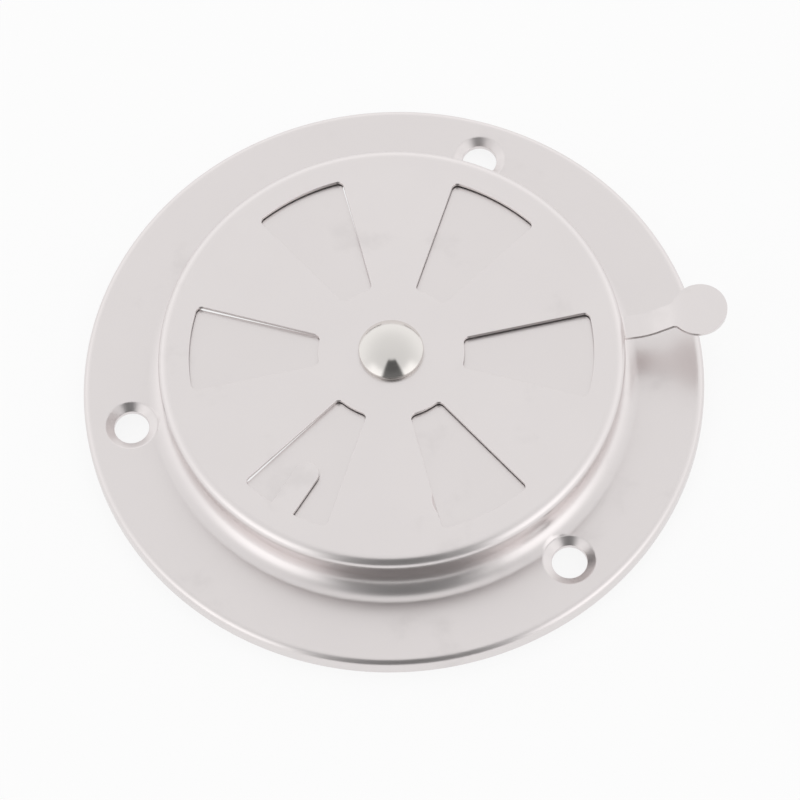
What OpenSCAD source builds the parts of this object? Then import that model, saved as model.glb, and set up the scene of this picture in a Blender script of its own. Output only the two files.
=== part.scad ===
// Round adjustable vent grille in stamped stainless sheet: a flanged base plate with a raised drum,
// a rotating cover with sector windows and a finger lever, and the rivet and washer they turn on.
// The vent lies on the rim of its flange, with the turning axis on +Z and the mounting face at z = 0.

/* [Flange] */
// Outer diameter of the flange
flange_diameter = 127; // [124:0.5:140]
// Height of the flange's front face above the mounting face
flange_height = 4; // [3.2:0.1:6]
// Outside radius of the bend between the flange and its turned-down rim
rim_bend_radius = 1.6; // [1.1:0.1:2.2]
// Thickness of the base plate's sheet
base_sheet = 0.8; // [0.6:0.05:1]

/* [Drum] */
// Outside diameter of the drum's upright wall
drum_diameter = 92.2; // [89:0.2:93]
// Height of the drum's flat top above the mounting face
drum_height = 14.65; // [13:0.1:18]
// Radius of the hollow bend from the flange up to the drum wall
drum_foot_radius = 4.3; // [3:0.1:5]
// Outside radius of the bend between the drum wall and its top
drum_edge_radius = 1.4; // [1.1:0.1:2]

/* [Screw holes] */
// Number of screw holes
screw_count = 3; // [3:1:4]
// Diameter of the circle that the screw holes lie on
screw_circle = 108.5; // [107:0.1:110]
// Diameter of each screw hole
screw_hole_diameter = 7.15; // [5:0.05:7.5]
// Diameter of the pressed dimple at the flange's front face
dimple_diameter = 10.9; // [10:0.1:11.4]
// Depth from the flange's front face down to the edge of the hole
dimple_depth = 1.1; // [0.7:0.1:1.8]
// Radius of the rolled shoulder round the dimple
dimple_shoulder = 0.8; // [0.3:0.1:1]
// Direction of the first screw hole, in degrees from +X
screw_angle = 66.9; // [40:0.1:80]

/* [Windows] */
// Number of windows in the cover and in the drum top
window_count = 6; // [6:1:6]
// Distance from the axis to the inner end of each window
window_inner_radius = 14.8; // [13:0.1:17]
// Distance from the axis to the outer end of each window
window_outer_radius = 40.9; // [38.8:0.1:41.8]
// Angle between the two straight sides of a window
window_angle = 28; // [22:0.5:28.5]
// Distance from the axis at which the two straight sides would meet
window_apex = 1; // [0:0.1:1.5]
// Radius of the window corners
window_corner_radius = 1.2; // [0.6:0.1:1.6]
// Direction of the cover's first window with the vent closed
cover_window_angle = 54.35; // [50:0.05:58]

/* [Cover] */
// Thickness of the cover's sheet
cover_sheet = 0.8; // [0.6:0.05:0.9]
// Height of the gap between the drum's top and the underside of the cover
cover_gap = 0.4; // [0.3:0.05:0.6]
// Gap between the drum wall and the inside of the cover's skirt
skirt_clearance = 0.37; // [0.3:0.01:0.6]
// Outside radius of the bend between the cover's face and its skirt
cover_edge_radius = 2.2; // [1.8:0.1:2.3]
// Depth of the skirt below the cover's front face
skirt_depth = 2.4; // [2.4:0.1:3]

/* [Tongue] */
// Number of the window that holds the tongue, counted from the first
tongue_window = 3; // [0:1:3]
// Width of the flat tongue left standing in that window
tongue_width = 5; // [3:0.1:6]
// Distance from the axis to the tongue's round tip
tongue_tip_radius = 29.3; // [24:0.1:34]

/* [Stop lug] */
// Number of the window whose edge carries the stop lug
lug_window = 4; // [4:1:5]
// Distance from the axis to the middle of the lug
lug_radius = 35; // [33:0.1:36.5]
// Length of the lug along the window's edge
lug_length = 4.2; // [3:0.1:5]
// Thickness of the lug
lug_thickness = 0.6; // [0.4:0.05:0.8]
// Depth to which the lug reaches below the cover's underside
lug_reach = 2; // [1.6:0.1:3]
// Depth of the hollow that the pressed lug leaves in the cover's front face
lug_hollow = 0.5; // [0.2:0.05:0.55]
// Clearance between the lug and the side of its window in the drum top
lug_clearance = 0.1; // [0.05:0.01:0.2]

/* [Lever] */
// Direction of the lever with the vent closed, in degrees from +X
lever_angle = 4; // [-8:0.5:20]
// Width of the lever's strip
lever_width = 5; // [3.5:0.1:6]
// Distance from the cover's front face down to the top of the strip where it leaves the skirt
lever_drop = 3.25; // [3:0.05:4]
// Inside radius of the bend from the skirt out into the strip
lever_root_radius = 0.6; // [0.4:0.05:0.8]
// Length of the level strip beyond the skirt, before it bends upwards
lever_level_length = 2.9; // [2:0.1:5]
// Slope of the rising part of the strip, in degrees
lever_slope = 27; // [15:1:35]
// Radius of the upward bend and of the bend back to the paddle
lever_bend_radius = 8; // [4:0.5:10]
// Length of the straight part between those two bends
lever_rise_length = 3.7; // [1:0.1:6]
// Upward tilt of the paddle, in degrees
paddle_tilt = 5; // [0:1:10]
// Diameter of the round paddle
paddle_diameter = 11.3; // [9:0.1:14]
// Distance from the vent's axis to the centre of the paddle
paddle_radius = 62.9; // [61:0.1:68]
// Radius of the necks between strip and paddle
paddle_neck_radius = 1.5; // [0.5:0.1:2]

/* [Pivot] */
// Diameter of the rivet's shank
rivet_diameter = 5; // [4:0.1:6]
// Diameter of the rivet's head
rivet_head_diameter = 13.2; // [11:0.1:15]
// Height of the upright edge of the rivet's head
rivet_head_edge = 1; // [0.5:0.1:1.5]
// Height of the dome above that edge
rivet_dome_height = 2.7; // [1.5:0.1:4]
// Diameter of the closed end behind the washer
rivet_tail_diameter = 8.4; // [7.5:0.1:10]
// Height of the closed end behind the washer
rivet_tail_height = 1.5; // [1:0.1:2]
// Radius of the rounded edge of the closed end
rivet_tail_edge = 0.6; // [0.2:0.1:0.8]
// Diameter of the washer behind the drum's top
washer_diameter = 12; // [11:0.1:14]
// Thickness of that washer
washer_thickness = 0.8; // [0.5:0.1:1.2]
// Diameter of the flat seat pressed up in the drum's top for the cover to turn on
seat_diameter = 17; // [15:0.1:18]
// Radial clearance between the rivet's shank and the cover
pivot_clearance = 0.06; // [0.02:0.01:0.1]
// Radial clearance between the rivet's shank and the base plate and washer
rivet_fit = 0.02; // [0.01:0.01:0.05]
// Play of the cover between the seat below it and the rivet's head above it
pivot_play = 0.05; // [0.02:0.01:0.1]

/* [Hidden] */
$fn = 48;

steel = [0.80, 0.79, 0.77];
bright_steel = [0.86, 0.85, 0.84];

flange_radius = flange_diameter / 2;
drum_radius = drum_diameter / 2;
hole_radius = screw_hole_diameter / 2;
dimple_radius = dimple_diameter / 2;
paddle_half = paddle_diameter / 2;
shank_radius = rivet_diameter / 2;
head_radius = rivet_head_diameter / 2;
tail_radius = rivet_tail_diameter / 2;
seat_radius = seat_diameter / 2;

cover_underside = drum_height + cover_gap;
cover_top = cover_underside + cover_sheet;
cover_radius = drum_radius + skirt_clearance + cover_sheet;
skirt_bottom = cover_top - skirt_depth;

window_pitch = 360 / window_count;
half_window = window_angle / 2;

// How far past a face the cutting shapes run
cut = 1;

// Direction of a window's straight side at a given distance from the axis, from the window's middle.
function side_angle(radius) = half_window - asin(window_apex * sin(half_window) / radius);

// The drum's windows lie one window width round from the cover's, so the closed lug stands against
// the side of its own window with lug_clearance between them.
lug_gap_angle = lug_clearance / lug_radius * 180 / PI;
drum_window_angle = cover_window_angle - 2 * side_angle(lug_radius) + lug_gap_angle;

// Height of the raised seat over the rest of the drum's top.
seat_rise = cover_gap - pivot_play;
seat_underside = drum_height + seat_rise - base_sheet;
washer_underside = seat_underside - washer_thickness;
head_underside = cover_top + pivot_play;

// Slope of a screw dimple's cone from the level, found from its depth, its width and its shoulder.
dimple_reach = dimple_radius - hole_radius;
dimple_slope = 2 * atan(dimple_depth
    / (dimple_reach + sqrt(pow(dimple_reach, 2) + dimple_depth * (dimple_depth - 2 * dimple_shoulder))));
hole_edge = flange_height - dimple_depth;

// Filled section under the base plate's front face, moved in by the given depth.
module base_section(depth) {
    rim_r = flange_radius - depth;
    flange_z = flange_height - depth;
    bend_r = rim_bend_radius - depth;
    wall_r = drum_radius - depth;
    top_z = drum_height - depth;
    edge_r = drum_edge_radius - depth;
    foot_r = drum_foot_radius + depth;
    difference() {
        union() {
            polygon([
                [0, -cut - depth],
                [rim_r, -cut - depth],
                [rim_r, flange_z - bend_r],
                [rim_r - bend_r, flange_z],
                [wall_r + foot_r, flange_z],
                [wall_r, flange_z + foot_r],
                [wall_r, top_z - edge_r],
                [wall_r - edge_r, top_z],
                [seat_radius + 2 * seat_rise, top_z],
                [seat_radius, top_z + seat_rise],
                [0, top_z + seat_rise]
            ]);
            translate([rim_r - bend_r, flange_z - bend_r]) circle(bend_r);
            translate([wall_r - edge_r, top_z - edge_r]) circle(edge_r);
        }
        translate([wall_r + foot_r, flange_z + foot_r]) circle(foot_r);
    }
}

// Section of the cover's round block up to height z, with its top edge rounded.
module cover_section(radius, z, edge) {
    polygon([
        [0, -cut],
        [radius, -cut],
        [radius, z - edge],
        [radius - edge, z],
        [0, z]
    ]);
    translate([radius - edge, z - edge]) circle(edge);
}

// Hollow of a screw dimple: the hole, the cone and its rolled shoulder, and a flare above the flange
// where the dimple runs into the drum's foot.
module dimple_funnel() {
    shoulder = dimple_shoulder;
    start = 8;
    rotate_extrude() difference() {
        polygon([
            [0, -cut],
            [hole_radius, -cut],
            [hole_radius, hole_edge],
            [dimple_radius + shoulder * (sin(start) - sin(dimple_slope)),
                flange_height + shoulder * (cos(dimple_slope) - cos(start))],
            [dimple_radius, flange_height],
            [dimple_radius + cut, flange_height + cut],
            [0, flange_height + cut]
        ]);
        translate([dimple_radius + shoulder * sin(start), flange_height - shoulder * cos(start)])
            circle(shoulder);
    }
}

// Metal round a screw hole, pressed down below the flange with the sheet's own thickness.
module dimple_wall() {
    foot = hole_edge - base_sheet / cos(dimple_slope);
    middle = flange_height - base_sheet / 2;
    rotate_extrude() polygon([
        [0, foot],
        [hole_radius, foot],
        [hole_radius + (middle - foot) / tan(dimple_slope), middle],
        [0, middle]
    ]);
}

// One window lying along +X, with straight sides, arc ends and rounded corners.
module window_outline() {
    corner = window_corner_radius;
    inset_apex = window_apex + corner / sin(half_window);
    intersection() {
        ring(window_inner_radius + corner, window_outer_radius - corner);
        wedge(window_apex);
    }
    intersection() {
        ring(window_inner_radius, window_outer_radius);
        wedge(inset_apex);
    }
    for (radius = [window_inner_radius + corner, window_outer_radius - corner], side = [-1, 1]) {
        reach = along_side(inset_apex, radius);
        translate([inset_apex + reach * cos(half_window), side * reach * sin(half_window)])
            circle(corner);
    }
}

// Distance along a side that starts at the apex, out to a given distance from the axis.
function along_side(apex, radius) =
    sqrt(radius * radius - pow(apex * sin(half_window), 2)) - apex * cos(half_window);

module ring(inner, outer) {
    difference() {
        circle(outer);
        circle(inner);
    }
}

// Sector between a window's two sides, from the point where they meet.
module wedge(apex) {
    reach = 2 * window_outer_radius;
    polygon([
        [apex, 0],
        [apex + reach * cos(half_window), reach * sin(half_window)],
        [apex + reach * cos(half_window), -reach * sin(half_window)]
    ]);
}

// Flat tongue with a round tip that stays in its window.
module tongue_outline() {
    half_width = tongue_width / 2;
    tip = tongue_tip_radius + half_width;
    translate([tip, 0]) circle(half_width);
    translate([tip, -half_width]) square([window_outer_radius + cut - tip, tongue_width]);
}

module base_plate() {
    color(steel) difference() {
        union() {
            rotate_extrude() difference() {
                base_section(0);
                base_section(base_sheet);
                translate([0, -2 * cut]) square([flange_radius + cut, 2 * cut]);
            }
            at_screws() dimple_wall();
        }
        at_screws() dimple_funnel();
        for (i = [0 : window_count - 1])
            rotate(drum_window_angle + i * window_pitch)
                translate([0, 0, drum_height - base_sheet - cut])
                    linear_extrude(base_sheet + 2 * cut) window_outline();
        cylinder(r = shank_radius + rivet_fit, h = drum_height + 2 * cut);
    }
}

module at_screws() {
    for (i = [0 : screw_count - 1])
        rotate(screw_angle + i * 360 / screw_count) translate([screw_circle / 2, 0, 0]) children();
}

module rotating_cover() {
    color(steel) union() {
        difference() {
            rotate_extrude() difference() {
                cover_section(cover_radius, cover_top, cover_edge_radius);
                cover_section(cover_radius - cover_sheet, cover_underside, cover_edge_radius - cover_sheet);
                translate([0, -2 * cut]) square([cover_radius + cut, skirt_bottom + 2 * cut]);
            }
            for (i = [0 : window_count - 1])
                rotate(cover_window_angle + i * window_pitch) translate([0, 0, cover_underside - cut])
                    linear_extrude(cover_sheet + 2 * cut) difference() {
                        window_outline();
                        if (i == tongue_window) tongue_outline();
                    }
            cylinder(r = shank_radius + pivot_clearance, h = cover_top + cut);
            at_lug() lug_scoop();
        }
        at_lug() lug_leg();
        rotate(lever_angle) lever();
    }
}

// Places its children at the lug: +X along the window's side, +Y into the metal beside the window.
module at_lug() {
    reach = along_side(window_apex, lug_radius);
    rotate(cover_window_angle + lug_window * window_pitch)
        translate([window_apex + reach * cos(half_window), -reach * sin(half_window), 0])
            rotate(-half_window) mirror([0, 1, 0]) children();
}

// Leg pressed down from the edge of the sheet.
module lug_leg() {
    foot = cover_underside - lug_reach;
    difference() {
        translate([-lug_length / 2, 0, foot])
            cube([lug_length, lug_thickness, cover_top - foot - lug_hollow / 2]);
        lug_scoop();
    }
}

// Round-bottomed hollow that shows above the lug.
module lug_scoop() {
    scoop_radius = (pow(lug_length / 2, 2) + pow(lug_hollow, 2)) / (2 * lug_hollow);
    translate([0, lug_thickness, cover_top - lug_hollow + scoop_radius])
        rotate([90, 0, 0]) cylinder(r = scoop_radius, h = lug_thickness + cut);
}

module lever() {
    intersection() {
        translate([0, paddle_diameter, 0])
            rotate([90, 0, 0]) linear_extrude(2 * paddle_diameter) lever_side();
        linear_extrude(cover_top + paddle_diameter) lever_plan();
    }
}

// Side view of the lever: x is the distance from the axis, y is the height.
module lever_side() {
    difference() {
        lever_section(0);
        lever_section(cover_sheet);
    }
}

// Region below and behind the lever's front face, moved in by the given depth.
module lever_section(depth) {
    root_r = lever_root_radius;
    rise_r = lever_bend_radius;
    level_z = cover_top - lever_drop;
    root = [cover_radius + root_r, level_z + root_r];
    hollow = [cover_radius + lever_level_length, level_z + rise_r];
    rise_start = hollow + rise_r * [sin(lever_slope), -cos(lever_slope)];
    rise_end = rise_start + lever_rise_length * [cos(lever_slope), sin(lever_slope)];
    crest = rise_end + rise_r * [sin(lever_slope), -cos(lever_slope)];
    far = paddle_radius + paddle_half + cut + depth - crest[0];
    difference() {
        union() {
            polygon([
                [cover_radius - 2 * cover_sheet - depth, -2 * cut - depth],
                [crest[0] + far, -2 * cut - depth],
                crest + [far, (rise_r - depth) / cos(paddle_tilt) + far * tan(paddle_tilt)],
                crest + (rise_r - depth) * [-sin(paddle_tilt), cos(paddle_tilt)],
                crest + (rise_r - depth) * [-sin(lever_slope), cos(lever_slope)],
                hollow + (rise_r + depth) * [sin(lever_slope), -cos(lever_slope)],
                hollow - [0, rise_r + depth],
                root - [0, root_r + depth],
                root - [root_r + depth, 0],
                [cover_radius - depth, skirt_bottom + cover_edge_radius / 4],
                [cover_radius - 2 * cover_sheet - depth, skirt_bottom + cover_edge_radius / 4]
            ]);
            translate(crest) circle(rise_r - depth);
        }
        translate(hollow) circle(rise_r + depth);
        translate(root) circle(root_r + depth);
    }
}

// Outline of the lever seen from above: strip, necks and round paddle.
module lever_plan() {
    half_width = lever_width / 2;
    neck = paddle_neck_radius;
    neck_x = paddle_radius - sqrt(pow(paddle_half + neck, 2) - pow(half_width + neck, 2));
    difference() {
        union() {
            translate([cover_radius - cover_sheet, -half_width])
                square([paddle_radius - cover_radius + cover_sheet, lever_width]);
            translate([neck_x, -half_width - neck]) square([paddle_radius - neck_x, lever_width + 2 * neck]);
        }
        for (side = [-1, 1]) translate([neck_x, side * (half_width + neck)]) circle(neck);
    }
    translate([paddle_radius, 0]) circle(paddle_half);
}

module centre_rivet() {
    dome_sphere = (pow(head_radius, 2) + pow(rivet_dome_height, 2)) / (2 * rivet_dome_height);
    dome_base = head_underside + rivet_head_edge;
    color(bright_steel) union() {
        translate([0, 0, head_underside]) cylinder(r = head_radius, h = rivet_head_edge);
        rotate_extrude() intersection() {
            translate([0, dome_base + rivet_dome_height - dome_sphere]) circle(dome_sphere);
            translate([0, dome_base]) square([head_radius, rivet_dome_height + cut]);
        }
        translate([0, 0, washer_underside - cut])
            cylinder(r = shank_radius, h = head_underside - washer_underside + 2 * cut);
        rotate_extrude() mirror([0, 1]) translate([0, -washer_underside])
            tail_section();
    }
}

// Section of the rivet's closed end, with its flat side at y = 0.
module tail_section() {
    square([tail_radius, rivet_tail_height - rivet_tail_edge]);
    square([tail_radius - rivet_tail_edge, rivet_tail_height]);
    translate([tail_radius - rivet_tail_edge, rivet_tail_height - rivet_tail_edge]) intersection() {
        circle(rivet_tail_edge);
        square(rivet_tail_edge);
    }
}

module back_washer() {
    color(steel) translate([0, 0, washer_underside]) difference() {
        cylinder(d = washer_diameter, h = washer_thickness);
        translate([0, 0, -cut]) cylinder(r = shank_radius + rivet_fit, h = washer_thickness + 2 * cut);
    }
}

base_plate();
rotating_cover();
centre_rivet();
back_washer();
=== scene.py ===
"""Studio scene of a round adjustable vent grille pressed from thin stainless sheet.

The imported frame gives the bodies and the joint. Each piece of sheet metal is formed again here at
a finer resolution, dressed in its finish and set on a pale floor under soft light.
All the modelling is in millimetres; each finished mesh is brought to metres as its last step.
"""

import logging
import math
from dataclasses import dataclass, field
from enum import Enum
from typing import Callable

import bmesh
import bpy
from mathutils import Matrix, Vector


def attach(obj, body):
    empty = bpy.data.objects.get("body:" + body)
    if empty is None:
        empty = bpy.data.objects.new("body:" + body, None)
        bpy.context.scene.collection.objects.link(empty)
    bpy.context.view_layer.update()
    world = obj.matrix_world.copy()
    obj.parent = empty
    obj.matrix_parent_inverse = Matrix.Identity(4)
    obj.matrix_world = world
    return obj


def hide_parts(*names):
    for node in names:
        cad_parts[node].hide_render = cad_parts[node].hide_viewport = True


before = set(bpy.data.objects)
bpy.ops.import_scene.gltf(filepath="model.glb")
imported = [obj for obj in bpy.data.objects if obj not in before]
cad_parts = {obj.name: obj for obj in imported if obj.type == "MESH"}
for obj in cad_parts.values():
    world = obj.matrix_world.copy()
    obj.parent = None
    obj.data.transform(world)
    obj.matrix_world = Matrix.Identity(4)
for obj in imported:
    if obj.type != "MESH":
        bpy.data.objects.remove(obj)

LOG = logging.getLogger("vent")
MILLIMETRE = 0.001
FULL_TURN = 2 * math.pi
ROUND_STEPS = 256

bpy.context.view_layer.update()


class Cut(Enum):
    """What a tool body does to the piece that it meets."""

    REMOVE = "DIFFERENCE"
    JOIN = "UNION"
    KEEP = "INTERSECT"


class Side(Enum):
    """The two faces of a sheet."""

    FRONT = 0
    BACK = 1


@dataclass(frozen=True)
class Corner:
    """A corner of a section: distance from the axis, height, and the radius that rounds it."""

    across: float
    up: float
    radius: float = 0.0
    segments: int = 8


@dataclass(frozen=True)
class Arc:
    """Part of a circle in an outline, from one direction to another, in degrees."""

    x: float
    y: float
    radius: float
    start: float
    end: float
    steps: int = 8


# ---------------------------------------------------------------- forming


def corner_length(before: Corner, here: Corner, after: Corner) -> float:
    """Distance from a corner to where its rounding starts.

    Args:
        before: The corner before it.
        here: The corner that is rounded.
        after: The corner after it.

    Returns:
        The length along either side, in millimetres.
    """
    first = Vector((here.across - before.across, here.up - before.up))
    second = Vector((after.across - here.across, after.up - here.up))
    return here.radius * math.tan(first.angle(second) / 2)


def section_wire(bm: bmesh.types.BMesh, corners: list[Corner], closed: bool) -> None:
    """Draws a section in the XZ plane and rounds its corners.

    Args:
        bm: The mesh that the section is added to.
        corners: The section's corners in order.
        closed: Whether the last corner joins the first.
    """
    verts = [bm.verts.new((c.across, 0.0, c.up)) for c in corners]
    count = len(corners)
    for i in range(count if closed else count - 1):
        bm.edges.new((verts[i], verts[(i + 1) % count]))
    for i, corner in enumerate(corners):
        if corner.radius > 0:
            length = corner_length(corners[i - 1], corner, corners[(i + 1) % count])
            bmesh.ops.bevel(
                bm,
                geom=[verts[i]],
                offset=length,
                offset_type="OFFSET",
                segments=corner.segments,
                profile=0.5,
                affect="VERTICES",
                material=-1,
            )


def spun_mesh(corners: list[Corner], closed: bool, steps: int = ROUND_STEPS) -> bmesh.types.BMesh:
    """Turns a section once round the Z axis into a closed body.

    Args:
        corners: The section's corners; an open section starts and ends on the axis.
        closed: Whether the section is a closed loop away from the axis.
        steps: How many facets go round.

    Returns:
        The turned body.
    """
    bm = bmesh.new()
    section_wire(bm, corners, closed)
    bmesh.ops.spin(
        bm,
        geom=bm.verts[:] + bm.edges[:],
        cent=(0, 0, 0),
        axis=(0, 0, 1),
        dvec=(0, 0, 0),
        angle=FULL_TURN,
        steps=steps,
        use_merge=True,
        use_normal_flip=False,
        use_duplicate=False,
    )
    bmesh.ops.remove_doubles(bm, verts=bm.verts[:], dist=1e-4)
    bmesh.ops.dissolve_degenerate(bm, edges=bm.edges[:], dist=1e-5)
    bmesh.ops.recalc_face_normals(bm, faces=bm.faces[:])
    return bm


def outline_prism(arcs: list[Arc], low: float, high: float) -> bmesh.types.BMesh:
    """Raises an outline of arcs joined by straight lines into a prism.

    Args:
        arcs: The outline's arcs in order; each one's end is joined to the next one's start.
        low: Height of the prism's lower face.
        high: Height of its upper face.

    Returns:
        The closed prism.
    """
    bm = bmesh.new()
    chain: list[bmesh.types.BMVert] = []
    for arc in arcs:
        start = math.radians(arc.start)
        first = bm.verts.new((arc.x + arc.radius * math.cos(start), arc.y + arc.radius * math.sin(start), low))
        known = set(bm.verts)
        bmesh.ops.spin(
            bm,
            geom=[first],
            cent=(arc.x, arc.y, low),
            axis=(0, 0, 1),
            dvec=(0, 0, 0),
            angle=math.radians(arc.end - arc.start),
            steps=arc.steps,
            use_merge=False,
            use_normal_flip=False,
            use_duplicate=False,
        )
        run = [first]
        fresh = [v for v in bm.verts if v not in known]
        while fresh:
            nxt = next(e.other_vert(run[-1]) for e in run[-1].link_edges if e.other_vert(run[-1]) in fresh)
            fresh.remove(nxt)
            run.append(nxt)
        chain.extend(run)
    for i, vert in enumerate(chain):
        after = chain[(i + 1) % len(chain)]
        if bm.edges.get((vert, after)) is None:
            bm.edges.new((vert, after))
    bmesh.ops.remove_doubles(bm, verts=bm.verts[:], dist=1e-4)
    bmesh.ops.contextual_create(bm, geom=bm.edges[:])
    raised = bmesh.ops.extrude_face_region(bm, geom=bm.faces[:])
    top = [g for g in raised["geom"] if isinstance(g, bmesh.types.BMVert)]
    bmesh.ops.translate(bm, verts=top, vec=(0, 0, high - low))
    bmesh.ops.recalc_face_normals(bm, faces=bm.faces[:])
    return bm


def turned_copies(bm: bmesh.types.BMesh, count: int, first: float, offset: tuple[float, float, float] = (0, 0, 0)) -> None:
    """Shifts a body and repeats it in equal turns about the Z axis.

    Args:
        bm: The body, which is changed.
        count: How many there are in all.
        first: Direction of the first one, in degrees.
        offset: Shift before the turn.
    """
    bmesh.ops.translate(bm, verts=bm.verts[:], vec=offset)
    base = bm.verts[:] + bm.edges[:] + bm.faces[:]
    for i in range(1, count):
        copy = bmesh.ops.duplicate(bm, geom=base)
        verts = [g for g in copy["geom"] if isinstance(g, bmesh.types.BMVert)]
        bmesh.ops.rotate(bm, verts=verts, cent=(0, 0, 0), matrix=Matrix.Rotation(i * FULL_TURN / count, 3, "Z"))
    bmesh.ops.rotate(bm, verts=bm.verts[:], cent=(0, 0, 0), matrix=Matrix.Rotation(math.radians(first), 3, "Z"))


def body_object(name: str, bm: bmesh.types.BMesh) -> bpy.types.Object:
    """Makes an object of a bmesh and frees the bmesh.

    Args:
        name: Name of the object and its mesh.
        bm: The body.

    Returns:
        The new object, linked to the scene.
    """
    mesh = bpy.data.meshes.new(name)
    bm.to_mesh(mesh)
    bm.free()
    obj = bpy.data.objects.new(name, mesh)
    bpy.context.scene.collection.objects.link(obj)
    return obj


def combine(piece: bpy.types.Object, tool: bpy.types.Object, cut: Cut) -> None:
    """Cuts or joins a piece with a tool body, and deletes the tool.

    Args:
        piece: The piece, whose mesh is replaced by the result.
        tool: The tool body.
        cut: What the tool does.
    """
    modifier = piece.modifiers.new("tool", "BOOLEAN")
    modifier.operation = cut.value
    modifier.solver = "EXACT"
    modifier.object = tool
    depsgraph = bpy.context.evaluated_depsgraph_get()
    shaped = bpy.data.meshes.new_from_object(piece.evaluated_get(depsgraph))
    piece.modifiers.clear()
    plain = piece.data
    piece.data = shaped
    bpy.data.meshes.remove(plain)
    tool_mesh = tool.data
    bpy.data.objects.remove(tool)
    bpy.data.meshes.remove(tool_mesh)


def tidy_flats(piece: bpy.types.Object) -> None:
    """Joins the facets that lie in one plane, after a cut has split them."""
    bm = bmesh.new()
    bm.from_mesh(piece.data)
    bmesh.ops.remove_doubles(bm, verts=bm.verts[:], dist=1e-4)
    bmesh.ops.dissolve_limit(
        bm,
        angle_limit=math.radians(0.2),
        use_dissolve_boundaries=False,
        verts=bm.verts[:],
        edges=bm.edges[:],
        delimit=set(),
    )
    bm.to_mesh(piece.data)
    bm.free()


def ease_edges(
    piece: bpy.types.Object,
    width: float,
    segments: int,
    chosen: Callable[[bmesh.types.BMEdge], bool],
    sharpest: float = 50.0,
) -> int:
    """Rolls over the punched edges of a sheet.

    Args:
        piece: The piece, whose mesh is changed.
        width: Width of the rolled edge, in millimetres.
        segments: How many facets go round it.
        chosen: Says whether an edge belongs to the place that is eased.
        sharpest: Edges that turn less than this many degrees are left alone.

    Returns:
        How many edges were eased.
    """
    bm = bmesh.new()
    bm.from_mesh(piece.data)
    limit = math.radians(sharpest)
    edges = [e for e in bm.edges if e.is_manifold and e.calc_face_angle(0.0) > limit and chosen(e)]
    bmesh.ops.bevel(
        bm,
        geom=edges,
        offset=width,
        offset_type="OFFSET",
        segments=segments,
        profile=0.5,
        affect="EDGES",
        clamp_overlap=True,
        loop_slide=True,
        material=-1,
    )
    bm.to_mesh(piece.data)
    bm.free()
    return len(edges)


def finish_piece(piece: bpy.types.Object, material: bpy.types.Material, smooth: float = 32.0) -> None:
    """Brings a piece to metres, shades it and gives it its material.

    Args:
        piece: The piece, modelled in millimetres.
        material: Its finish.
        smooth: Edges that turn more than this many degrees stay crisp.
    """
    mesh = piece.data
    mesh.transform(Matrix.Scale(MILLIMETRE, 4))
    for polygon in mesh.polygons:
        polygon.use_smooth = True
    mesh.set_sharp_from_angle(angle=math.radians(smooth))
    weighted = piece.modifiers.new("flat_faces_stay_flat", "WEIGHTED_NORMAL")
    weighted.mode = "FACE_AREA"
    weighted.weight = 50
    weighted.keep_sharp = True
    mesh.materials.clear()
    mesh.materials.append(material)
    mesh.update()


# ---------------------------------------------------------------- finishes


def new_socket(group: bpy.types.NodeTree, name: str, way: str, kind: str, value: float | None = None) -> None:
    """Adds a named socket to a node group.

    Args:
        group: The group.
        name: The socket's name.
        way: INPUT or OUTPUT.
        kind: The socket's type.
        value: Its default, for a number.
    """
    socket = group.interface.new_socket(name=name, in_out=way, socket_type=kind)
    if value is not None:
        socket.default_value = value


def link(tree: bpy.types.NodeTree, source: bpy.types.NodeSocket, target: bpy.types.NodeSocket) -> None:
    """Joins two sockets."""
    tree.links.new(source, target)


def math_node(
    tree: bpy.types.NodeTree,
    operation: str,
    first: bpy.types.NodeSocket | float,
    second: bpy.types.NodeSocket | float = 0.0,
    clamp: bool = False,
) -> bpy.types.NodeSocket:
    """Adds a Math node.

    Args:
        tree: The node tree.
        operation: What it does.
        first: Its first value.
        second: Its second value.
        clamp: Whether the result stays between 0 and 1.

    Returns:
        The result's socket.
    """
    node = tree.nodes.new("ShaderNodeMath")
    node.operation = operation
    node.use_clamp = clamp
    for socket, value in zip(node.inputs, (first, second)):
        if isinstance(value, bpy.types.NodeSocket):
            link(tree, value, socket)
        else:
            socket.default_value = value
    return node.outputs[0]


def noise_node(
    tree: bpy.types.NodeTree, vector: bpy.types.NodeSocket, scale: float, detail: float, roughness: float = 0.5
) -> bpy.types.NodeSocket:
    """Adds a Noise Texture.

    Args:
        tree: The node tree.
        vector: Where it is read.
        scale: Its scale, in cycles per unit of the vector.
        detail: How many octaves it has.
        roughness: How strong the finer octaves are.

    Returns:
        The noise's value, about 0.5 on average.
    """
    node = tree.nodes.new("ShaderNodeTexNoise")
    node.inputs["Scale"].default_value = scale
    node.inputs["Detail"].default_value = detail
    node.inputs["Roughness"].default_value = roughness
    link(tree, vector, node.inputs["Vector"])
    return node.outputs["Fac"]


def range_node(
    tree: bpy.types.NodeTree, value: bpy.types.NodeSocket, low: float, high: float, to_low: float, to_high: float
) -> bpy.types.NodeSocket:
    """Adds a smooth Map Range node.

    Args:
        tree: The node tree.
        value: The value that is mapped.
        low: The value that becomes to_low.
        high: The value that becomes to_high.
        to_low: The result at low and below.
        to_high: The result at high and above.

    Returns:
        The result's socket.
    """
    node = tree.nodes.new("ShaderNodeMapRange")
    node.interpolation_type = "SMOOTHSTEP"
    link(tree, value, node.inputs["Value"])
    for name, number in (("From Min", low), ("From Max", high), ("To Min", to_low), ("To Max", to_high)):
        node.inputs[name].default_value = number
    return node.outputs["Result"]


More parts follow.
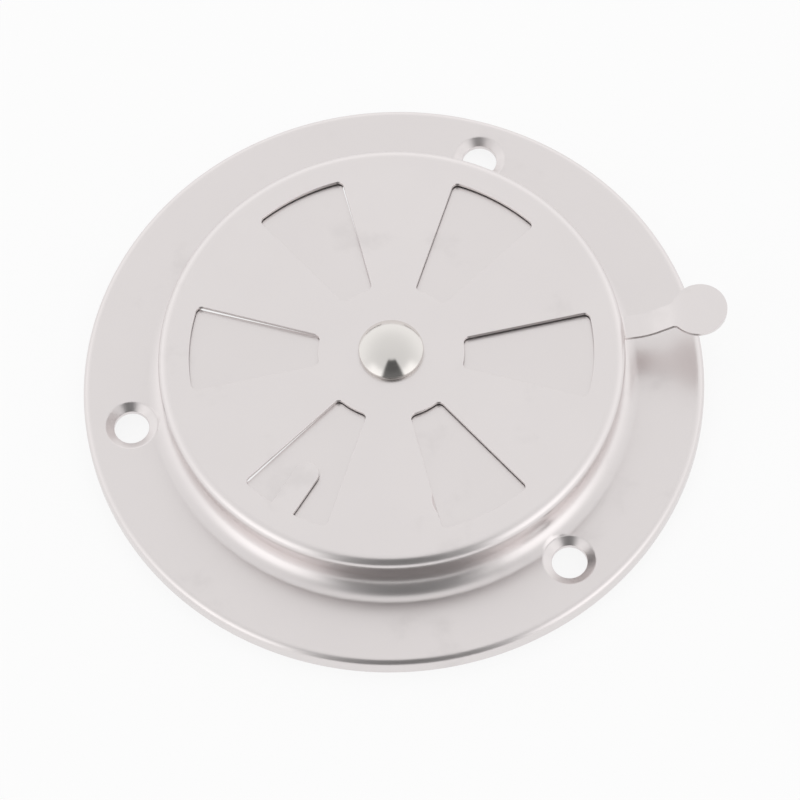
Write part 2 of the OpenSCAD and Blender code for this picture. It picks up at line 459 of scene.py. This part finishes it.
def rolled_sheet_group() -> bpy.types.NodeTree:
    """Builds the surface of cold-rolled sheet: cloudy tone, handling smudges and a fine grain.

    Returns:
        A group that puts out a tone, a roughness and a height.
    """
    group = bpy.data.node_groups.new("rolled_sheet", "ShaderNodeTree")
    new_socket(group, "Position", "INPUT", "NodeSocketVector")
    new_socket(group, "Roughness", "INPUT", "NodeSocketFloat", 0.15)
    new_socket(group, "Cloud", "INPUT", "NodeSocketFloat", 0.03)
    new_socket(group, "Smudge", "INPUT", "NodeSocketFloat", 0.05)
    new_socket(group, "Tone", "OUTPUT", "NodeSocketFloat")
    new_socket(group, "Roughness", "OUTPUT", "NodeSocketFloat")
    new_socket(group, "Height", "OUTPUT", "NodeSocketFloat")
    inlet = group.nodes.new("NodeGroupInput")
    outlet = group.nodes.new("NodeGroupOutput")
    position = inlet.outputs["Position"]

    cloud = noise_node(group, position, 38.0, 4.0, 0.55)
    patch = range_node(group, noise_node(group, position, 62.0, 5.0, 0.6), 0.58, 0.74, 0.0, 1.0)
    grain = noise_node(group, position, 5200.0, 2.0, 0.6)

    spread = math_node(group, "MULTIPLY", math_node(group, "SUBTRACT", cloud, 0.5), inlet.outputs["Cloud"])
    dull = math_node(group, "MULTIPLY", patch, inlet.outputs["Smudge"])
    tone = math_node(group, "SUBTRACT", math_node(group, "ADD", 1.0, spread), dull)
    link(group, tone, outlet.inputs["Tone"])

    rough = math_node(group, "ADD", inlet.outputs["Roughness"], math_node(group, "MULTIPLY", patch, 0.06))
    rough = math_node(group, "ADD", rough, math_node(group, "MULTIPLY", math_node(group, "SUBTRACT", grain, 0.5), 0.05))
    link(group, rough, outlet.inputs["Roughness"])
    link(group, grain, outlet.inputs["Height"])
    return group


@dataclass(frozen=True)
class SteelFinish:
    """A stainless finish: its colour in linear light, and how it scatters."""

    name: str
    colour: tuple[float, float, float]
    roughness: float
    cloud: float
    smudge: float
    grain_depth: float

    def material(self, sheet: bpy.types.NodeTree) -> bpy.types.Material:
        """Builds the material.

        Args:
            sheet: The rolled sheet group.

        Returns:
            The new material.
        """
        made = bpy.data.materials.new(self.name)
        made.use_nodes = True
        tree = made.node_tree
        tree.nodes.clear()
        shader = tree.nodes.new("ShaderNodeBsdfPrincipled")
        output = tree.nodes.new("ShaderNodeOutputMaterial")
        link(tree, shader.outputs["BSDF"], output.inputs["Surface"])
        shader.inputs["Metallic"].default_value = 1.0

        place = tree.nodes.new("ShaderNodeTexCoord")
        surface = tree.nodes.new("ShaderNodeGroup")
        surface.node_tree = sheet
        link(tree, place.outputs["Object"], surface.inputs["Position"])
        surface.inputs["Roughness"].default_value = self.roughness
        surface.inputs["Cloud"].default_value = self.cloud
        surface.inputs["Smudge"].default_value = self.smudge

        tint = tree.nodes.new("ShaderNodeMix")
        tint.data_type = "RGBA"
        tint.blend_type = "MULTIPLY"
        tint.inputs["Factor"].default_value = 1.0
        tint.inputs["A"].default_value = (*self.colour, 1.0)
        link(tree, surface.outputs["Tone"], tint.inputs["B"])
        link(tree, tint.outputs["Result"], shader.inputs["Base Color"])
        link(tree, surface.outputs["Roughness"], shader.inputs["Roughness"])

        bump = tree.nodes.new("ShaderNodeBump")
        bump.inputs["Strength"].default_value = 0.2
        bump.inputs["Distance"].default_value = self.grain_depth * MILLIMETRE
        link(tree, surface.outputs["Height"], bump.inputs["Height"])
        link(tree, bump.outputs["Normal"], shader.inputs["Normal"])
        return made


# The plate's colour is set a touch darker than the cover's: painted shade, so that the window floors seen through the
# cover read darker than the cover around them.
SHADED_PLATE_STEEL = SteelFinish("plate_steel", (0.775, 0.735, 0.730), 0.30, 0.05, 0.05, 0.003)
COVER_STEEL = SteelFinish("cover_steel", (0.785, 0.745, 0.740), 0.30, 0.06, 0.06, 0.003)
RIVET_STEEL = SteelFinish("rivet_steel", (0.715, 0.690, 0.665), 0.12, 0.02, 0.03, 0.001)


# ---------------------------------------------------------------- pieces


@dataclass(frozen=True)
class WindowPattern:
    """The sector windows that the cover and the drum share."""

    count: int = 6
    inner: float = 14.8
    outer: float = 40.9
    half_angle: float = 14.0
    apex: float = 1.0
    corner: float = 1.2
    tongue_half: float = 2.5
    tongue_tip: float = 29.3

    def side_angle(self, radius: float) -> float:
        """Direction of a straight side at a distance from the axis, in degrees from the middle."""
        half = math.radians(self.half_angle)
        return self.half_angle - math.degrees(math.asin(self.apex * math.sin(half) / radius))

    def corner_centre(self, radius: float) -> Vector:
        """Centre of the rounding whose circle is at this distance from the axis."""
        half = math.radians(self.half_angle)
        apex = self.apex + self.corner / math.sin(half)
        reach = math.sqrt(radius**2 - (apex * math.sin(half)) ** 2) - apex * math.cos(half)
        return Vector((apex + reach * math.cos(half), reach * math.sin(half)))

    def outline(self, tongue: bool) -> list[Arc]:
        """Outline of a window that lies along +X.

        Args:
            tongue: Whether the window keeps its tongue.

        Returns:
            The arcs, counter-clockwise.
        """
        outer = self.corner_centre(self.outer - self.corner)
        inner = self.corner_centre(self.inner + self.corner)
        side = 90.0 + self.half_angle
        to_outer = math.degrees(math.atan2(outer.y, outer.x))
        to_inner = math.degrees(math.atan2(inner.y, inner.x))
        if tongue:
            root = math.degrees(math.asin(self.tongue_half / self.outer))
            end = [
                Arc(0, 0, self.outer, -to_outer, -root, 12),
                Arc(self.tongue_tip + self.tongue_half, 0, self.tongue_half, 270, 90, 20),
                Arc(0, 0, self.outer, root, to_outer, 12),
            ]
        else:
            end = [Arc(0, 0, self.outer, -to_outer, to_outer, 28)]
        return end + [
            Arc(outer.x, outer.y, self.corner, to_outer, side),
            Arc(inner.x, inner.y, self.corner, side, 180 + to_inner),
            Arc(0, 0, self.inner, to_inner, -to_inner, 14),
            Arc(inner.x, -inner.y, self.corner, 180 - to_inner, 360 - side),
            Arc(outer.x, -outer.y, self.corner, 360 - side, 360 - to_outer),
        ]

    def tool(self, first: float, low: float, high: float, tongue: int | None = None) -> bpy.types.Object:
        """Tool body that punches all the windows.

        Args:
            first: Direction of the first window, in degrees.
            low: Height of the tool's lower face.
            high: Height of its upper face.
            tongue: Number of the window that keeps its tongue.

        Returns:
            The tool.
        """
        whole = bmesh.new()
        for i in range(self.count):
            one = outline_prism(self.outline(i == tongue), low, high)
            turn = Matrix.Rotation(math.radians(first + i * 360 / self.count), 3, "Z")
            bmesh.ops.rotate(one, verts=one.verts[:], cent=(0, 0, 0), matrix=turn)
            mesh = bpy.data.meshes.new("punch")
            one.to_mesh(mesh)
            one.free()
            whole.from_mesh(mesh)
            bpy.data.meshes.remove(mesh)
        return body_object("punch", whole)


@dataclass
class BasePlate:
    """The flanged plate with its raised drum, windows and screw dimples."""

    windows: WindowPattern = field(default_factory=WindowPattern)
    sheet: float = 0.8
    flange_radius: float = 63.5
    flange_top: float = 4.0
    rim_bend: float = 1.6
    drum_radius: float = 46.1
    drum_top: float = 14.65
    foot_bend: float = 4.3
    drum_edge: float = 1.4
    seat_radius: float = 8.5
    seat_rise: float = 0.35
    bore: float = 2.52
    window_angle: float = 27.306
    screw_count: int = 3
    screw_angle: float = 66.9
    screw_circle: float = 54.25
    hole_radius: float = 3.575
    dimple_radius: float = 5.45
    dimple_depth: float = 1.1
    shoulder: float = 0.8

    def section(self) -> list[Corner]:
        """Closed section of the sheet, out along its front and back along its rear."""
        t = self.sheet
        top = self.drum_top
        return [
            Corner(self.flange_radius, 0.0, 0.12, 3),
            Corner(self.flange_radius, self.flange_top, self.rim_bend, 10),
            Corner(self.drum_radius, self.flange_top, self.foot_bend, 16),
            Corner(self.drum_radius, top, self.drum_edge, 8),
            Corner(self.seat_radius + 2 * self.seat_rise, top, 0.5, 3),
            Corner(self.seat_radius, top + self.seat_rise, 0.5, 3),
            Corner(self.bore, top + self.seat_rise),
            Corner(self.bore, top + self.seat_rise - t),
            Corner(self.seat_radius - 0.2, top + self.seat_rise - t, 0.5, 3),
            Corner(self.seat_radius + 2 * self.seat_rise - 0.2, top - t, 0.5, 3),
            Corner(self.drum_radius - t, top - t, self.drum_edge - t, 5),
            Corner(self.drum_radius - t, self.flange_top - t, self.foot_bend + t, 12),
            Corner(self.flange_radius - t, self.flange_top - t, self.rim_bend - t, 6),
            Corner(self.flange_radius - t, 0.0, 0.12, 3),
        ]

    def cone_slope(self) -> float:
        """Slope of a dimple's cone from the level, in radians."""
        reach = self.hole_reach()
        depth = self.dimple_depth
        return 2 * math.atan(depth / (reach + math.sqrt(reach**2 + depth * (depth - 2 * self.shoulder))))

    def hole_reach(self) -> float:
        """Width of a dimple between its hole and its outer edge."""
        return self.dimple_radius - self.hole_radius

    def dimple_boss(self) -> bpy.types.Object:
        """Tool body of the metal pressed down round the screw holes."""
        slope = self.cone_slope()
        foot = self.flange_top - self.dimple_depth - self.sheet / math.cos(slope)
        middle = self.flange_top - self.sheet / 2
        bm = spun_mesh(
            [
                Corner(0, foot),
                Corner(self.hole_radius, foot),
                Corner(self.hole_radius + (middle - foot) / math.tan(slope), middle),
                Corner(0, middle),
            ],
            False,
            72,
        )
        turned_copies(bm, self.screw_count, self.screw_angle, (self.screw_circle, 0, 0))
        return body_object("dimple_boss", bm)

    def dimple_funnel(self) -> bpy.types.Object:
        """Tool body of the hollows: hole, cone, rolled shoulder, and a flare over the drum's foot."""
        slope = self.cone_slope()
        start = math.radians(8)
        length = self.shoulder * math.tan((slope - start) / 2)
        edge = self.flange_top - self.dimple_depth
        bm = spun_mesh(
            [
                Corner(0, -1),
                Corner(self.hole_radius, -1),
                Corner(self.hole_radius, edge, 0.2, 3),
                Corner(
                    self.dimple_radius - length * math.cos(start),
                    self.flange_top - length * math.sin(start),
                    self.shoulder,
                    8,
                ),
                Corner(self.dimple_radius, self.flange_top),
                Corner(self.dimple_radius + 1, self.flange_top + 1),
                Corner(0, self.flange_top + 1),
            ],
            False,
            72,
        )
        turned_copies(bm, self.screw_count, self.screw_angle, (self.screw_circle, 0, 0))
        return body_object("dimple_funnel", bm)

    def build(self, material: bpy.types.Material) -> bpy.types.Object:
        """Forms the plate.

        Args:
            material: Its finish.

        Returns:
            The finished piece.
        """
        plate = body_object("flanged_plate", spun_mesh(self.section(), True))
        tidy_flats(plate)
        combine(plate, self.dimple_boss(), Cut.JOIN)
        combine(plate, self.dimple_funnel(), Cut.REMOVE)
        punch = self.windows.tool(self.window_angle, self.drum_top - 2, self.drum_top + 1)
        combine(plate, punch, Cut.REMOVE)
        tidy_flats(plate)
        ease_edges(plate, 0.1, 2, lambda e: all(abs(v.co.z - self.drum_top) < 1e-3 for v in e.verts))
        finish_piece(plate, material)
        return plate


@dataclass
class RotatingCover:
    """The turning cover with its windows, tongue, stop lug and finger lever."""

    windows: WindowPattern = field(default_factory=WindowPattern)
    sheet: float = 0.8
    radius: float = 47.27
    top: float = 15.85
    edge_bend: float = 2.2
    skirt_bottom: float = 13.45
    bore: float = 2.56
    window_angle: float = 54.35
    tongue_window: int = 3
    lug_window: int = 4
    lug_radius: float = 35.0
    lug_length: float = 4.2
    lug_thickness: float = 0.6
    lug_foot: float = 13.05
    lever_angle: float = 4.0
    lever_half: float = 2.5
    lever_level: float = 12.6
    lever_root: float = 0.6
    lever_bend: float = 8.0
    lever_slope: float = 27.0
    lever_level_length: float = 2.9
    lever_rise_length: float = 3.7
    paddle_tilt: float = 5.0
    paddle_radius: float = 5.65
    paddle_centre: float = 62.9
    neck_radius: float = 1.5

    def section(self) -> list[Corner]:
        """Closed section of the pressed disc."""
        t = self.sheet
        return [
            Corner(self.radius, self.skirt_bottom, 0.15, 3),
            Corner(self.radius, self.top, self.edge_bend, 14),
            Corner(self.bore, self.top),
            Corner(self.bore, self.top - t),
            Corner(self.radius - t, self.top - t, self.edge_bend - t, 8),
            Corner(self.radius - t, self.skirt_bottom, 0.1, 2),
        ]

    def lever_path(self, depth: float) -> list[Corner]:
        """Corners of the lever's side view, moved in from its front face.

        Args:
            depth: How far in from the front face.

        Returns:
            The corners from the skirt out to the tip.
        """
        slope = math.radians(self.lever_slope)
        tilt = math.radians(self.paddle_tilt)
        first = self.lever_bend * math.tan(slope / 2)
        second = self.lever_bend * math.tan((slope - tilt) / 2)
        rise = first + self.lever_rise_length + second
        hollow = Vector((self.radius + self.lever_level_length + first, self.lever_level))
        crest = hollow + rise * Vector((math.cos(slope), math.sin(slope)))
        tip = crest + 14 * Vector((math.cos(tilt), math.sin(tilt)))
        lines = [
            (Vector((self.radius, self.lever_level)), math.radians(-90)),
            (hollow, 0.0),
            (crest, slope),
            (tip, tilt),
        ]
        moved = [(p + depth * Vector((math.sin(a), -math.cos(a))), a) for p, a in lines]
        radii = [self.lever_root + depth, self.lever_bend + depth, self.lever_bend - depth]
        corners = [Corner(self.radius - depth, self.skirt_bottom + 0.3)]
        for (p, a), (q, b), radius in zip(moved, moved[1:], radii):
            along = ((q - p).x * math.sin(b) - (q - p).y * math.cos(b)) / math.sin(b - a)
            meet = p + along * Vector((math.cos(a), math.sin(a)))
            corners.append(Corner(meet.x, meet.y, radius, 10))
        corners.append(Corner(moved[-1][0].x, moved[-1][0].y))
        return corners

    def lever_plan(self) -> list[Arc]:
        """Outline of the lever from above: strip, necks and round paddle."""
        neck = self.neck_radius
        rise = self.lever_half + neck
        neck_x = self.paddle_centre - math.sqrt((self.paddle_radius + neck) ** 2 - rise**2)
        turn = math.degrees(math.atan2(rise, neck_x - self.paddle_centre))
        return [
            Arc(self.paddle_centre, 0, self.paddle_radius, -turn, turn, 64),
            Arc(neck_x, rise, neck, turn - 180, -90, 8),
            Arc(self.radius - self.sheet - 0.5, 0, self.lever_half, 90, 90.01, 1),
            Arc(self.radius - self.sheet - 0.5, 0, self.lever_half, -90.01, -90, 1),
            Arc(neck_x, -rise, neck, 90, 180 - turn, 8),
        ]

    def lever(self) -> bpy.types.Object:
        """Forms the finger lever, bent and cut to its outline."""
        corners = self.lever_path(0.0) + self.lever_path(self.sheet)[::-1]
        bm = bmesh.new()
        section_wire(bm, corners, True)
        bmesh.ops.contextual_create(bm, geom=bm.edges[:])
        bmesh.ops.translate(bm, verts=bm.verts[:], vec=(0, -9, 0))
        raised = bmesh.ops.extrude_face_region(bm, geom=bm.faces[:])
        far = [g for g in raised["geom"] if isinstance(g, bmesh.types.BMVert)]
        bmesh.ops.translate(bm, verts=far, vec=(0, 18, 0))
        bmesh.ops.recalc_face_normals(bm, faces=bm.faces[:])
        lever = body_object("lever", bm)
        plan = body_object("lever_plan", outline_prism(self.lever_plan(), 5, 25))
        combine(lever, plan, Cut.KEEP)
        ease_edges(lever, 0.15, 3, lambda e: min(v.co.x for v in e.verts) > self.radius + 0.2)
        lever.data.transform(Matrix.Rotation(math.radians(self.lever_angle), 4, "Z"))
        return lever

    def lug_place(self) -> Matrix:
        """Place of the stop lug: +X along its window's side, +Y into the metal beside it."""
        pattern = self.windows
        half = math.radians(pattern.half_angle)
        reach = math.sqrt(self.lug_radius**2 - (pattern.apex * math.sin(half)) ** 2) - pattern.apex * math.cos(half)
        turn = Matrix.Rotation(math.radians(self.window_angle + self.lug_window * 360 / pattern.count), 4, "Z")
        spot = Matrix.Translation((pattern.apex + reach * math.cos(half), -reach * math.sin(half), 0))
        return turn @ spot @ Matrix.Rotation(-half, 4, "Z") @ Matrix.Scale(-1, 4, (0, 1, 0))

    def lug_leg(self) -> bpy.types.Object:
        """Tool body of the leg that is pressed down."""
        bm = bmesh.new()
        bmesh.ops.create_cube(bm, size=1.0)
        height = self.top - 0.2 - self.lug_foot
        bmesh.ops.scale(bm, vec=(self.lug_length, self.lug_thickness, height), verts=bm.verts[:])
        bmesh.ops.translate(bm, vec=(0, self.lug_thickness / 2, self.lug_foot + height / 2), verts=bm.verts[:])
        bmesh.ops.transform(bm, matrix=self.lug_place(), verts=bm.verts[:])
        bmesh.ops.recalc_face_normals(bm, faces=bm.faces[:])
        return body_object("lug_leg", bm)

    def lug_hollow(self) -> bpy.types.Object:
        """Tool body of the lens-shaped hollow that pressing the lug down leaves in front."""
        bm = bmesh.new()
        bmesh.ops.create_uvsphere(bm, u_segments=96, v_segments=64, radius=6.0)
        bmesh.ops.translate(bm, vec=(0, -4.9, self.top + 2.6), verts=bm.verts[:])
        bmesh.ops.transform(bm, matrix=self.lug_place(), verts=bm.verts[:])
        bmesh.ops.recalc_face_normals(bm, faces=bm.faces[:])
        return body_object("lug_hollow", bm)

    def build(self, material: bpy.types.Material) -> bpy.types.Object:
        """Forms the cover.

        Args:
            material: Its finish.

        Returns:
            The finished piece.
        """
        cover = body_object("turning_cover", spun_mesh(self.section(), True))
        tidy_flats(cover)
        punch = self.windows.tool(self.window_angle, self.top - 2, self.top + 1, self.tongue_window)
        combine(cover, punch, Cut.REMOVE)
        combine(cover, self.lug_leg(), Cut.JOIN)
        combine(cover, self.lug_hollow(), Cut.REMOVE)
        tidy_flats(cover)
        eased = ease_edges(cover, 0.12, 3, self.on_front)
        LOG.info("eased %d edges of the cover's windows", eased)
        combine(cover, self.lever(), Cut.JOIN)
        finish_piece(cover, material)
        return cover

    def on_front(self, edge: bmesh.types.BMEdge) -> bool:
        """Whether an edge lies in the cover's front face, away from the rivet."""
        return all(abs(v.co.z - self.top) < 1e-3 and v.co.xy.length > 10 for v in edge.verts)


@dataclass
class PivotRivet:
    """The domed rivet that the cover turns on."""

    seat: float = 15.9
    head_radius: float = 6.6
    edge: float = 1.0
    dome: float = 2.7
    shank: float = 2.5
    washer_bottom: float = 13.4
    tail_radius: float = 4.2
    tail: float = 1.5

    def section(self) -> list[Corner]:
        """Open section from the top of the dome down to the middle of the closed end."""
        crown = self.seat + self.edge
        sphere = (self.head_radius**2 + self.dome**2) / (2 * self.dome)
        centre = crown + self.dome - sphere
        reach = math.asin(self.head_radius / sphere)
        count = 28
        dome = [
            Corner(sphere * math.sin(reach * i / count), centre + sphere * math.cos(reach * i / count))
            for i in range(count)
        ]
        return dome + [
            Corner(self.head_radius, crown, 0.5, 5),
            Corner(self.head_radius, self.seat, 0.25, 4),
            Corner(self.shank, self.seat),
            Corner(self.shank, self.washer_bottom),
            Corner(self.tail_radius, self.washer_bottom, 0.2, 2),
            Corner(self.tail_radius, self.washer_bottom - self.tail, 0.7, 6),
            Corner(1.2, self.washer_bottom - self.tail, 0.4, 3),
            Corner(0.8, self.washer_bottom - self.tail + 0.5, 0.3, 3),
            Corner(0.0, self.washer_bottom - self.tail + 0.5),
        ]

    def build(self, material: bpy.types.Material) -> bpy.types.Object:
        """Forms the rivet.

        Args:
            material: Its finish.

        Returns:
            The finished piece.
        """
        rivet = body_object("domed_rivet", spun_mesh(self.section(), False, 128))
        finish_piece(rivet, material)
        return rivet


# ---------------------------------------------------------------- studio


@dataclass(frozen=True)
class PhotoCamera:
    """The camera of the photograph, in millimetres and degrees."""

    target: tuple[float, float, float] = (1.084, -3.211, 0.0)
    distance: float = 843.38
    elevation: float = 63.499
    roll: float = 4.083
    pixels_per_millimetre: float = 4.8821
    image_size: int = 800

    def place(self) -> bpy.types.Object:
        """Makes the camera and hands it to the scene.

        Returns:
            The camera.
        """
        tilt = math.radians(self.elevation)
        turn = math.radians(self.roll)
        back = Vector((0, -math.cos(tilt), math.sin(tilt)))
        right = Vector((1, 0, 0))
        up = Vector((0, math.sin(tilt), math.cos(tilt)))
        right, up = (
            math.cos(turn) * right - math.sin(turn) * up,
            math.sin(turn) * right + math.cos(turn) * up,
        )
        data = bpy.data.cameras.new("photo_camera")
        data.sensor_width = 36.0
        data.lens = self.pixels_per_millimetre * self.distance * data.sensor_width / self.image_size
        data.clip_start = 0.01
        data.clip_end = 20.0
        camera = bpy.data.objects.new("photo_camera", data)
        axes = Matrix((right, up, back)).transposed().to_4x4()
        spot = (Vector(self.target) + self.distance * back) * MILLIMETRE
        camera.matrix_world = Matrix.Translation(spot) @ axes
        bpy.context.scene.collection.objects.link(camera)
        bpy.context.scene.camera = camera
        return camera


@dataclass(frozen=True)
class Studio:
    """The pale floor and the light tent around the object."""

    low_tone: float = 1.08
    high_tone: float = 0.88
    panel_top: float = 0.66
    panel_half: float = 1.25
    panel_tone: float = 0.35
    figure_bearing: float = 0.0
    figure_half: float = 0.52
    figure_top: float = 0.955
    figure_tone: float = 0.14

    def floor(self) -> bpy.types.Object:
        """Makes the floor, which shows white to the camera and keeps a soft shadow."""
        bm = bmesh.new()
        bmesh.ops.create_grid(bm, x_segments=1, y_segments=1, size=3000.0)
        bmesh.ops.translate(bm, vec=(0, 0, -0.05), verts=bm.verts[:])
        floor = body_object("floor", bm)
        floor.data.transform(Matrix.Scale(MILLIMETRE, 4))
        paint = bpy.data.materials.new("pale_floor")
        paint.use_nodes = True
        tree = paint.node_tree
        tree.nodes.clear()
        output = tree.nodes.new("ShaderNodeOutputMaterial")
        matt = tree.nodes.new("ShaderNodeBsdfDiffuse")
        matt.inputs["Color"].default_value = (0.95, 0.95, 0.95, 1)
        lit = tree.nodes.new("ShaderNodeEmission")
        lit.inputs["Color"].default_value = (1, 1, 1, 1)
        lit.inputs["Strength"].default_value = 1.0
        path = tree.nodes.new("ShaderNodeLightPath")
        seen = math_node(tree, "ADD", path.outputs["Is Camera Ray"], path.outputs["Is Glossy Ray"], True)
        mix = tree.nodes.new("ShaderNodeMixShader")
        link(tree, math_node(tree, "MULTIPLY", seen, 0.85), mix.inputs["Fac"])
        link(tree, matt.outputs["BSDF"], mix.inputs[1])
        link(tree, lit.outputs["Emission"], mix.inputs[2])
        link(tree, mix.outputs["Shader"], output.inputs["Surface"])
        floor.data.materials.append(paint)
        return floor

    def tent(self) -> bpy.types.World:
        """Makes the world: a pale tent, two bright panels low in front, and the dark shape between them.

        Returns:
            The world.
        """
        world = bpy.data.worlds.new("tent")
        world.use_nodes = True
        tree = world.node_tree
        tree.nodes.clear()
        output = tree.nodes.new("ShaderNodeOutputWorld")
        background = tree.nodes.new("ShaderNodeBackground")
        place = tree.nodes.new("ShaderNodeTexCoord")
        parts = tree.nodes.new("ShaderNodeSeparateXYZ")
        link(tree, place.outputs["Generated"], parts.inputs["Vector"])
        across, depth, height = (parts.outputs[axis] for axis in "XYZ")
        front = math_node(tree, "MULTIPLY", depth, -1.0)
        bearing = math_node(tree, "ARCTAN2", across, front)
        aside = math_node(tree, "ABSOLUTE", math_node(tree, "SUBTRACT", bearing, self.figure_bearing))

        tent = range_node(tree, height, 0.1, 1.0, self.low_tone, self.high_tone)
        behind = range_node(tree, depth, -0.2, 0.5, 0.0, 0.04)
        tent = math_node(tree, "ADD", tent, behind)

        low = range_node(tree, height, self.panel_top - 0.12, self.panel_top + 0.12, 1.0, 0.0)
        near = range_node(tree, aside, self.panel_half - 0.25, self.panel_half + 0.25, 1.0, 0.0)
        panel = math_node(tree, "MULTIPLY", math_node(tree, "MULTIPLY", low, near), self.panel_tone)
        tent = math_node(tree, "ADD", tent, panel)

        narrow = range_node(tree, aside, self.figure_half - 0.1, self.figure_half + 0.1, 1.0, 0.0)
        below = range_node(tree, height, self.figure_top - 0.025, self.figure_top + 0.025, 1.0, 0.0)
        figure = math_node(tree, "MULTIPLY", narrow, below)
        shade = math_node(tree, "MULTIPLY", figure, 1.0 - self.figure_tone)
        tent = math_node(tree, "MULTIPLY", tent, math_node(tree, "SUBTRACT", 1.0, shade))

        path = tree.nodes.new("ShaderNodeLightPath")
        mix = tree.nodes.new("ShaderNodeMix")
        mix.data_type = "RGBA"
        link(tree, path.outputs["Is Camera Ray"], mix.inputs["Factor"])
        link(tree, tent, mix.inputs["A"])
        mix.inputs["B"].default_value = (1, 1, 1, 1)
        link(tree, mix.outputs["Result"], background.inputs["Color"])
        background.inputs["Strength"].default_value = 1.0
        link(tree, background.outputs["Background"], output.inputs["Surface"])
        bpy.context.scene.world = world
        return world


def dress_washer(material: bpy.types.Material) -> None:
    """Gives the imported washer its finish."""
    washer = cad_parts["back_washer"]
    washer.data.materials.clear()
    washer.data.materials.append(material)


def main() -> None:
    """Builds the studio and the vent, piece by piece."""
    logging.basicConfig(level=logging.INFO, format="%(name)s: %(message)s")
    bpy.context.scene.view_settings.view_transform = "Standard"
    PhotoCamera().place()
    studio = Studio()
    studio.tent()
    studio.floor()

    sheet = rolled_sheet_group()
    plate_steel = SHADED_PLATE_STEEL.material(sheet)
    pieces = [
        (BasePlate().build(plate_steel), "plate", "base_plate", "plate_steel"),
        (RotatingCover().build(COVER_STEEL.material(sheet)), "cover", "rotating_cover", "cover_steel"),
        (PivotRivet().build(RIVET_STEEL.material(sheet)), "plate", "centre_rivet", "rivet_steel"),
    ]
    for piece, body, node, slot in pieces:
        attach(piece, body)
        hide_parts(node)
        LOG.info("%s: %d faces, rides on %s", piece.name, len(piece.data.polygons), body)
    dress_washer(plate_steel)


if __name__ == "__main__":
    main()
